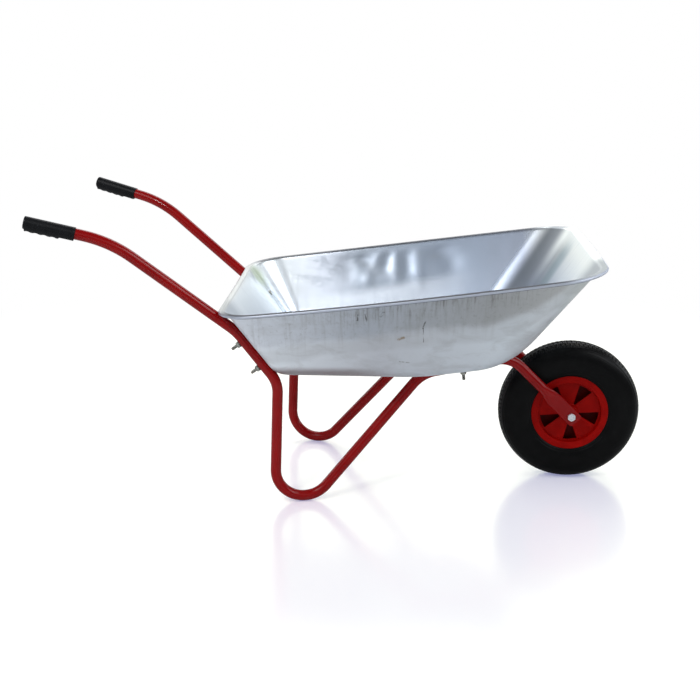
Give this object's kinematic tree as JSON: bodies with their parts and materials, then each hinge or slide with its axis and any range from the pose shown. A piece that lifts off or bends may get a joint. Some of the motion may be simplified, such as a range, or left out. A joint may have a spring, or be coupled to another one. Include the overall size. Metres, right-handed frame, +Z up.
{
  "type": "wheelbarrow",
  "caption": "Garden wheelbarrow with a pressed steel tray on two bent tubes that form handles, legs and fork, and a pneumatic wheel with a windowed rim.",
  "frame": {"origin": "on the ground in the plane of symmetry, midway between the rear ends of the grips and the front of the tyre", "axes": "+X forward to the wheel, +Y to the left, +Z up"},
  "size_m": [1.4678, 0.7098, 0.7256],
  "materials": {
    "tray_steel": "galvanised, satin, with drawing marks and stains",
    "tube_paint": "gloss red paint",
    "grip": "matte black, finely grained",
    "fastener_zinc": "zinc plated",
    "axle_zinc": "bright zinc plated",
    "sleeve_steel": "plain drawn tube, oiled",
    "spacer": "black",
    "wheel_rim": "moulded red",
    "hub_bush": "natural nylon",
    "tyre": "black, satin side walls",
    "inner_tube": "black",
    "valve_stem": "plain",
    "valve_cap": "black"
  },
  "bodies": {
    "frame": {"tray": "tray_steel", "left_frame_tube": "tube_paint", "right_frame_tube": "tube_paint", "left_grip": "grip", "right_grip": "grip", "left_tray_bolts": "fastener_zinc", "right_tray_bolts": "fastener_zinc", "left_tray_washers": "fastener_zinc", "right_tray_washers": "fastener_zinc", "left_tray_nuts": "fastener_zinc", "right_tray_nuts": "fastener_zinc", "axle_bolt": "axle_zinc", "axle_washer": "axle_zinc", "axle_nut": "axle_zinc", "axle_sleeve": "sleeve_steel", "left_spacer": "spacer", "right_spacer": "spacer"},
    "wheel": {"wheel_rim": "wheel_rim", "left_hub_bush": "hub_bush", "right_hub_bush": "hub_bush", "tyre": "tyre", "inner_tube": "inner_tube", "valve_stem": "valve_stem", "valve_cap": "valve_cap"}
  },
  "joints": [
    {"name": "wheel_spin", "type": "hinge", "parent": "frame", "child": "wheel", "pos_m": [0.55393, 0, 0.18], "axis": [0, 1, 0], "continuous": true}
  ]
}
